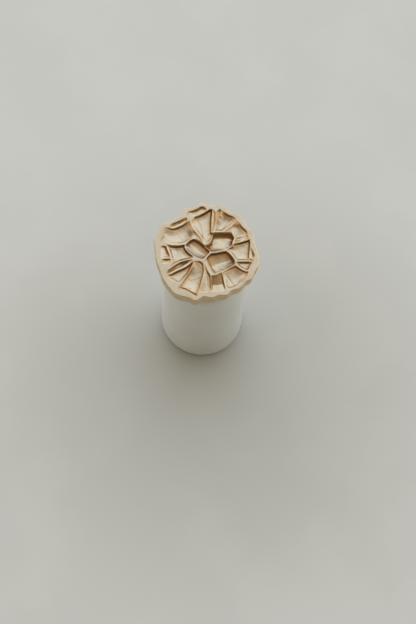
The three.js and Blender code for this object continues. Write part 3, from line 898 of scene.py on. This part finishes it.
def threaded_stud():
    """Rings at rising heights. The tip is chamfered, and the thread ends at the neck."""
    neck_low = boss_low.z - NECK_LENGTH
    rows = int((neck_low - stud_low.z) / PITCH * ROWS_PER_PITCH) + 1
    height = np.linspace(stud_low.z, neck_low, rows)[:, None]
    angle = (np.arange(THREAD_COLUMNS) * 2 * np.pi / THREAD_COLUMNS)[None]
    radius = thread_radius(height, angle, THREAD_RADIUS)
    radius = np.minimum(radius, THREAD_RADIUS - TIP_CHAMFER + height - stud_low.z)
    radius = np.minimum(radius, NECK_RADIUS + RUNOUT_SLOPE * (neck_low - height))
    upper, _ = rounded_profile([
        (NECK_RADIUS, neck_low + NECK_STEP, 0),
        (NECK_RADIUS, boss_low.z, SEAT_ROUNDING),
        (stud_high.x, boss_low.z, SEAT_ROUNDING),
        (stud_high.x, stud_high.z, HEAD_ROUNDING),
        (CAP_RADIUS, stud_high.z, 0),
    ])
    radius = np.concatenate([radius, upper[:, :1] + 0 * angle])
    points = around_axis(radius, angle, np.concatenate([height, upper[:, 1:]]))
    faces = capped_faces(len(radius), THREAD_COLUMNS)
    piece = mesh_piece("zinc_stud", points, faces, "head")
    mark(piece, "edge", rise(radius, THREAD_RADIUS - CREST_BAND, THREAD_RADIUS).ravel())
    return piece


stud = threaded_stud()
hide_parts("threaded_stud")

# %% [markdown]
# The bush in the handle is brass, grooved outside so that glue grips it, with a flange that is
# slotted for a wide screwdriver. Its surface is a tube that closes on itself: down the threaded
# hole, out under the bush, up over the ribs and in across the flange. The columns next to the slot
# run along it instead of towards the axis, which keeps its edges straight: where the slot is w
# wide, the column at y lies at the angle asin(y / r) for every radius r.

# %% The bush
SLOT_WIDTH = 1.4
SLOT_DEPTH = 0.7
RIBS = 4
RIB_DEPTH = 0.35
BESIDE_EDGE = 0.05
FOOT_RADIUS = 3.6
FLANGE_CHAMFER = 0.1
RIM_CHAMFER = 0.08
TOP_RADII = (5, 4, 3.5)
MOUTH_CHAMFER = 0.2
FIRST_DOWN = 0.02
SLOT_ACROSS = np.array([-0.74, -0.7, -0.66, -0.3, 0.3, 0.66, 0.7, 0.74])
SLOT_MARGIN = 0.02
EVEN_COLUMNS = 40
RIM_BAND = 0.12


def bush_angles(radius):
    """Each half turn has columns along the slot, then even ones up to the slot's other end."""
    slot = np.arcsin(SLOT_ACROSS / radius[:, None])
    between = np.linspace(0, 1, EVEN_COLUMNS + 2)[1:-1]
    span = np.pi - 2 * slot[:, -1:]
    half = np.concatenate([slot, slot[:, -1:] + span * between], axis=1)
    return np.concatenate([half, half + np.pi], axis=1)


def threaded_bush():
    """Rows of radius and height; a row's top height drops by the slot's depth inside the slot."""
    bottom = insert_low.z
    rib = (flange_low - bottom) / (2 * RIBS + 1)
    outer = [(FOOT_RADIUS, bottom)]
    for i in range(2 * RIBS + 1):
        radius = BUSH_RADIUS - (RIB_DEPTH if i % 2 else 0)
        low, high = bottom + i * rib, bottom + (i + 1) * rib
        outer += [(radius, low + BESIDE_EDGE), (radius, high - BESIDE_EDGE)]
    outer += [(BUSH_RADIUS, flange_low), (insert_high.x - FLANGE_CHAMFER, flange_low)]
    outer += [(insert_high.x, flange_low + FLANGE_CHAMFER)]
    outer += [(insert_high.x, insert_high.z - SLOT_DEPTH - BESIDE_EDGE)]
    outer = np.array(outer)
    top = [(insert_high.x, RIM_CHAMFER), (insert_high.x - RIM_CHAMFER, 0)]
    top = np.array(top + [(radius, 0) for radius in TOP_RADII])
    rows = int((insert_high.z - bottom) / PITCH * ROWS_PER_PITCH)
    down = np.linspace(FIRST_DOWN, 1, rows)
    radii = np.concatenate([outer[:, 0], top[:, 0], 0 * down + THREAD_RADIUS + FIT])
    angle = bush_angles(radii)
    across = np.abs(radii[:, None] * np.sin(angle))
    drop = SLOT_DEPTH * (across < SLOT_WIDTH / 2 - SLOT_MARGIN)
    height = np.zeros_like(angle)
    first, second = len(outer), len(outer) + len(top)
    height[:first] = outer[:, 1:]
    height[first:second] = insert_high.z - top[:, 1:] - drop[first:second]
    lip = insert_high.z - drop[second:]
    height[second:] = lip + (bottom - lip) * down[:, None]
    radius = radii[:, None] + 0 * angle
    inner = thread_radius(height[second:], angle[second:], THREAD_RADIUS + FIT)
    mouth = THREAD_RADIUS + FIT + MOUTH_CHAMFER - lip + height[second:]
    radius[second:] = np.maximum(inner, mouth)
    points = around_axis(radius, angle, height)
    faces = looped_faces(*radius.shape)
    piece = mesh_piece("threaded_bush", points, faces, "handle")
    rim = np.abs(radius - insert_high.x) < RIM_BAND
    mark(piece, "edge", (rim & (height > insert_high.z - RIM_BAND)).ravel())
    return piece


bush = threaded_bush()
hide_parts("threaded_insert")

# %% [markdown]
# A finish is never one flat colour. Four effects come back in the materials here: a fine grain, the
# rings that a lathe leaves, larger patches of another tone, and edges that are rubbed bare. Each
# is a node group that is built once, with its size in millimetres as an input, so every material
# uses the same nodes with values of its own.


# %% Shared effects
SOCKET_KINDS = {
    "Place": "Vector", "Size": "Float", "Edge": "Float", "Height": "Float", "Mask": "Float",
    "Tone": "Color", "Other Tone": "Color", "Colour": "Color", "Bare": "Color",
}
PATCH_RANGE = (0.38, 0.66)
RUBBED_RANGE = (0.2, 0.6)


def new_group(title, inputs, results):
    """An empty node group, with the outputs that hold its inputs and the sockets of its results."""
    group = bpy.data.node_groups.new(title, "ShaderNodeTree")
    for way, names in (("INPUT", inputs), ("OUTPUT", results)):
        for name in names:
            kind = "NodeSocket" + SOCKET_KINDS[name]
            group.interface.new_socket(name, in_out=way, socket_type=kind)
    given, result = group.nodes.new("NodeGroupInput"), group.nodes.new("NodeGroupOutput")
    return group, given.outputs, result.inputs


def grain_group():
    """Fine noise, as left by blasting or dried lacquer."""
    group, given, result = new_group("fine_grain", ["Place", "Size"], ["Height"])
    height = noise(group, given["Place"], given["Size"], detail=2.0)
    group.links.new(height, result["Height"])
    return group


def turning_group():
    """Noise on the distance from the axis and the height alone, so it doesn't change round the
    piece: distance = sqrt(x^2 + y^2)."""
    group, given, result = new_group("turning_marks", ["Place", "Size"], ["Height"])
    parts = node(group, "SeparateXYZ", Vector=given["Place"])
    distance = length_of(group, parts["X"], parts["Y"])
    ring = node(group, "CombineXYZ", X=distance, Z=parts["Z"])["Vector"]
    group.links.new(noise(group, ring, given["Size"], detail=1.0), result["Height"])
    return group


def patches_group():
    """Two tones in soft patches."""
    group, given, result = new_group(
        "tone_patches", ["Place", "Size", "Tone", "Other Tone"], ["Colour", "Mask"])
    lumps = noise(group, given["Place"], given["Size"], detail=4.0)
    mask = spread(group, lumps, *PATCH_RANGE)
    colour = mix_colours(group, mask, given["Tone"], given["Other Tone"])
    group.links.new(colour, result["Colour"])
    group.links.new(mask, result["Mask"])
    return group


def rubbed_group():
    """The edge mask, broken up by noise, lets the bare colour show through."""
    group, given, result = new_group(
        "rubbed_edges", ["Place", "Edge", "Size", "Colour", "Bare"], ["Colour"])
    lumps = noise(group, given["Place"], given["Size"], detail=2.0)
    mask = spread(group, calculate(group, "MULTIPLY", given["Edge"], lumps), *RUBBED_RANGE)
    group.links.new(mix_colours(group, mask, given["Colour"], given["Bare"]), result["Colour"])
    return group


GRAIN, TURNING, PATCHES, RUBBED = grain_group(), turning_group(), patches_group(), rubbed_group()
print("groups:", [group.name for group in (GRAIN, TURNING, PATCHES, RUBBED)])


def use_group(tree, group, **given):
    """The results of a group in a material. Object coordinates are metres from the stamp's own
    origin, so a pattern stays on the piece."""
    place = node(tree, "TexCoord")["Object"]
    return node(tree, "Group", {"node_tree": group}, Place=place, **given)


def read_attribute(tree, title):
    """The number that each point of a mesh was marked with."""
    return node(tree, "Attribute", {"attribute_name": title})["Fac"]


def add_bump(tree, shader, height, depth, **under):
    """A height of 0 to 1 stands for a depth in millimetres. Bumps can lie on each other."""
    bump = node(tree, "Bump", Height=height, Distance=depth * MM, **under)["Normal"]
    tree.links.new(bump, shader.inputs["Normal"])
    return bump


def finish(material, *pieces):
    """Gives the pieces their material."""
    for piece in pieces:
        piece.data.materials.append(material)
    print(material.name, "on", [piece.name for piece in pieces])


# %% [markdown]
# The die was engraved, blasted and then dulled in a bath, and wax has polished its crests since.
# What makes it read as brass is its colour in the carving: light that bounces from wall to wall is
# tinted twice, and here that is painted into the colour as shade. So the mesh carries masks. How
# close a point is to a steep wall that faces away from the window lays on a brown painted shade,
# how far it stands out from its surroundings lays a darker painted shade in hollows and clears the
# colour on rubbed crests, and a third mask is the sawn side.


# %% Engraved brass
BRASS_PALE = (0.535, 0.453, 0.344, 1)
BRASS_WARM = (0.50, 0.413, 0.303, 1)
BRASS_WALL_SHADE = (0.425, 0.222, 0.062, 1)
BRASS_HOLLOW_SHADE = (0.38, 0.205, 0.068, 1)
BRASS_BARE = (0.62, 0.535, 0.405, 1)
BRASS_SAWN = (0.74, 0.56, 0.35, 1)
HOLLOW_SHADE_RANGE = (-0.1, -1.2)
CREST_RANGE = (0.3, 1.5)
GRAIN_RANGE = (0.3, 0.7)
DIE_ROUGHNESS = (0.26, 0.36)


def engraved_brass():
    """Two tones in patches, then the painted shade at the steep walls' feet, the painted shade in
    the hollows and the sawn edge over them by their masks, and last the bare crests."""
    material, tree, shader = new_material("engraved_brass", 1.0)
    crest = read_attribute(tree, "crest")
    tone = use_group(tree, PATCHES, Size=2.6, Tone=BRASS_PALE, Other_Tone=BRASS_WARM)
    # Painted shade: brown near the foot of the walls that face away from the window.
    colour = mix_colours(tree, read_attribute(tree, "wall_shade"), tone["Colour"], BRASS_WALL_SHADE)
    # Painted shade: a darker brown in the hollows.
    colour = mix_colours(tree, spread(tree, crest, *HOLLOW_SHADE_RANGE), colour, BRASS_HOLLOW_SHADE)
    colour = mix_colours(tree, read_attribute(tree, "sawn"), colour, BRASS_SAWN)
    standing_out = spread(tree, crest, *CREST_RANGE)
    rubbed = use_group(
        tree, RUBBED, Edge=standing_out, Size=0.9, Colour=colour, Bare=BRASS_BARE)
    tree.links.new(rubbed["Colour"], shader.inputs["Base Color"])
    grain = use_group(tree, GRAIN, Size=0.22)["Height"]
    shine = spread(tree, grain, *GRAIN_RANGE, *DIE_ROUGHNESS)
    tree.links.new(shine, shader.inputs["Roughness"])
    fine = add_bump(tree, shader, grain, depth=0.008)
    waves = use_group(tree, GRAIN, Size=1.3)["Height"]
    add_bump(tree, shader, waves, depth=0.04, Normal=fine)
    return material


finish(engraved_brass(), engraved_die)

# %% [markdown]
# The hidden pieces and the handle have one way of ageing in common: two tones in patches that
# shine a little differently, a bare colour along rubbed edges, and a fine relief. So one function
# makes all four of their materials, each from values of its own.


# %% Worn surfaces
def worn_surface(
        name, pieces, metallic, patch_size, tones, edge_size, bare, relief, depth, roughness):
    """A relief is a group and its size. The roughness runs between two values, with the patches
    or with the relief, whichever it names first."""
    material, tree, shader = new_material(name, metallic)
    tone = use_group(tree, PATCHES, Size=patch_size, Tone=tones[0], Other_Tone=tones[1])
    edge = read_attribute(tree, "edge")
    rubbed = use_group(
        tree, RUBBED, Edge=edge, Size=edge_size, Colour=tone["Colour"], Bare=bare)
    tree.links.new(rubbed["Colour"], shader.inputs["Base Color"])
    group, size = relief
    height = use_group(tree, group, Size=size)["Height"]
    add_bump(tree, shader, height, depth)
    source, smoothest, roughest = roughness
    mask = (tone["Mask"], 0, 1) if source == "patches" else (height, *GRAIN_RANGE)
    tree.links.new(spread(tree, *mask, smoothest, roughest), shader.inputs["Roughness"])
    finish(material, *pieces)


# %% [markdown]
# The boss and the bush are bare brass from the lathe: brighter and yellower than the die, with fine
# rings across their faces and a bright line on each edge where the deburring tool ran.

# %% Turned brass
worn_surface(
    "lathe_brass", [boss, bush], metallic=1.0,
    patch_size=4.0, tones=[(0.67, 0.52, 0.32, 1), (0.58, 0.43, 0.25, 1)],
    edge_size=0.5, bare=(0.78, 0.65, 0.45, 1),
    relief=(TURNING, 0.12), depth=0.006, roughness=("patches", 0.24, 0.36))

# %% [markdown]
# The stud is steel with a thin coat of zinc, which has a cold, slightly patchy grey of its own and
# wears through to darker steel on the crests of the thread.

# %% Zinc-plated steel
worn_surface(
    "zinc_steel", [stud], metallic=1.0,
    patch_size=1.2, tones=[(0.64, 0.66, 0.68, 1), (0.52, 0.53, 0.54, 1)],
    edge_size=0.7, bare=(0.40, 0.39, 0.38, 1),
    relief=(GRAIN, 0.15), depth=0.006, roughness=("patches", 0.28, 0.46))

# %% [markdown]
# Vulcanised fibre is pressed paper: dull brown-red, a little mottled, with a rough grain and paler,
# furry edges where the punch cut it.

# %% Fibre
worn_surface(
    "pressed_fibre", [washer], metallic=0.0,
    patch_size=0.9, tones=[(0.23, 0.10, 0.06, 1), (0.15, 0.06, 0.035, 1)],
    edge_size=0.3, bare=(0.34, 0.19, 0.13, 1),
    relief=(GRAIN, 0.2), depth=0.03, roughness=("relief", 0.68, 0.85))

# %% [markdown]
# The handle's lacquer is a pale, nearly neutral grey with a satin shine: the room warms its front.
# Sprayed lacquer dries with a fine orange peel, hands dull it in patches, and it thins over the
# rounded edges, where the primer shows a little lighter. From a step away the handle is even.

# %% Lacquer
worn_surface(
    "satin_lacquer", [handle], metallic=0.0,
    patch_size=9.0, tones=[(0.757, 0.783, 0.766, 1), (0.739, 0.76, 0.74, 1)],
    edge_size=1.5, bare=(0.81, 0.825, 0.805, 1),
    relief=(GRAIN, 0.7), depth=0.01, roughness=("patches", 0.40, 0.45))

# %% [markdown]
# The floor is a plain pale surface with a faint haze, and it grows a little paler away from the
# stamp.
# The darker colour near the stamp is partly a darker stone under it and partly painted shade around
# it.
# A blend on the distance does that: lamps can't, without lighting the stamp differently.


# %% Pale floor
FLOOR_NEAR_SHADED = (0.4148, 0.4216, 0.3944, 1)
FLOOR_FAR = (0.51, 0.5202, 0.5066, 1)
FLOOR_MIDDLE = (5.0, -15.0)
FLOOR_BLEND = (20, 80)
HAZE_SIZE = 30.0
HAZE_LEVELS = (0.98, 1.02)
FLOOR_ROUGHNESS = (0.38, 0.46)


def pale_floor():
    """The colour follows the distance from a middle: near up to the blend, far beyond it."""
    material, tree, shader = new_material("pale_floor", 0.0)
    parts = node(tree, "SeparateXYZ", Vector=node(tree, "TexCoord")["Object"])
    x, y = (
        calculate(tree, "SUBTRACT", parts[axis], middle * MM)
        for axis, middle in zip("XY", FLOOR_MIDDLE))
    distance = length_of(tree, x, y)
    blend = spread(tree, distance, *(reach * MM for reach in FLOOR_BLEND))
    # Darker near the stamp: partly a darker stone under it, partly painted shade around it.
    colour = mix_colours(tree, blend, FLOOR_NEAR_SHADED, FLOOR_FAR)
    haze = use_group(tree, PATCHES, Size=HAZE_SIZE)["Mask"]
    value = spread(tree, haze, 0, 1, *HAZE_LEVELS)
    hazed = node(tree, "HueSaturation", Color=colour, Value=value)["Color"]
    tree.links.new(hazed, shader.inputs["Base Color"])
    tree.links.new(spread(tree, haze, 0, 1, *FLOOR_ROUGHNESS), shader.inputs["Roughness"])
    return material


finish(pale_floor(), stage_floor)
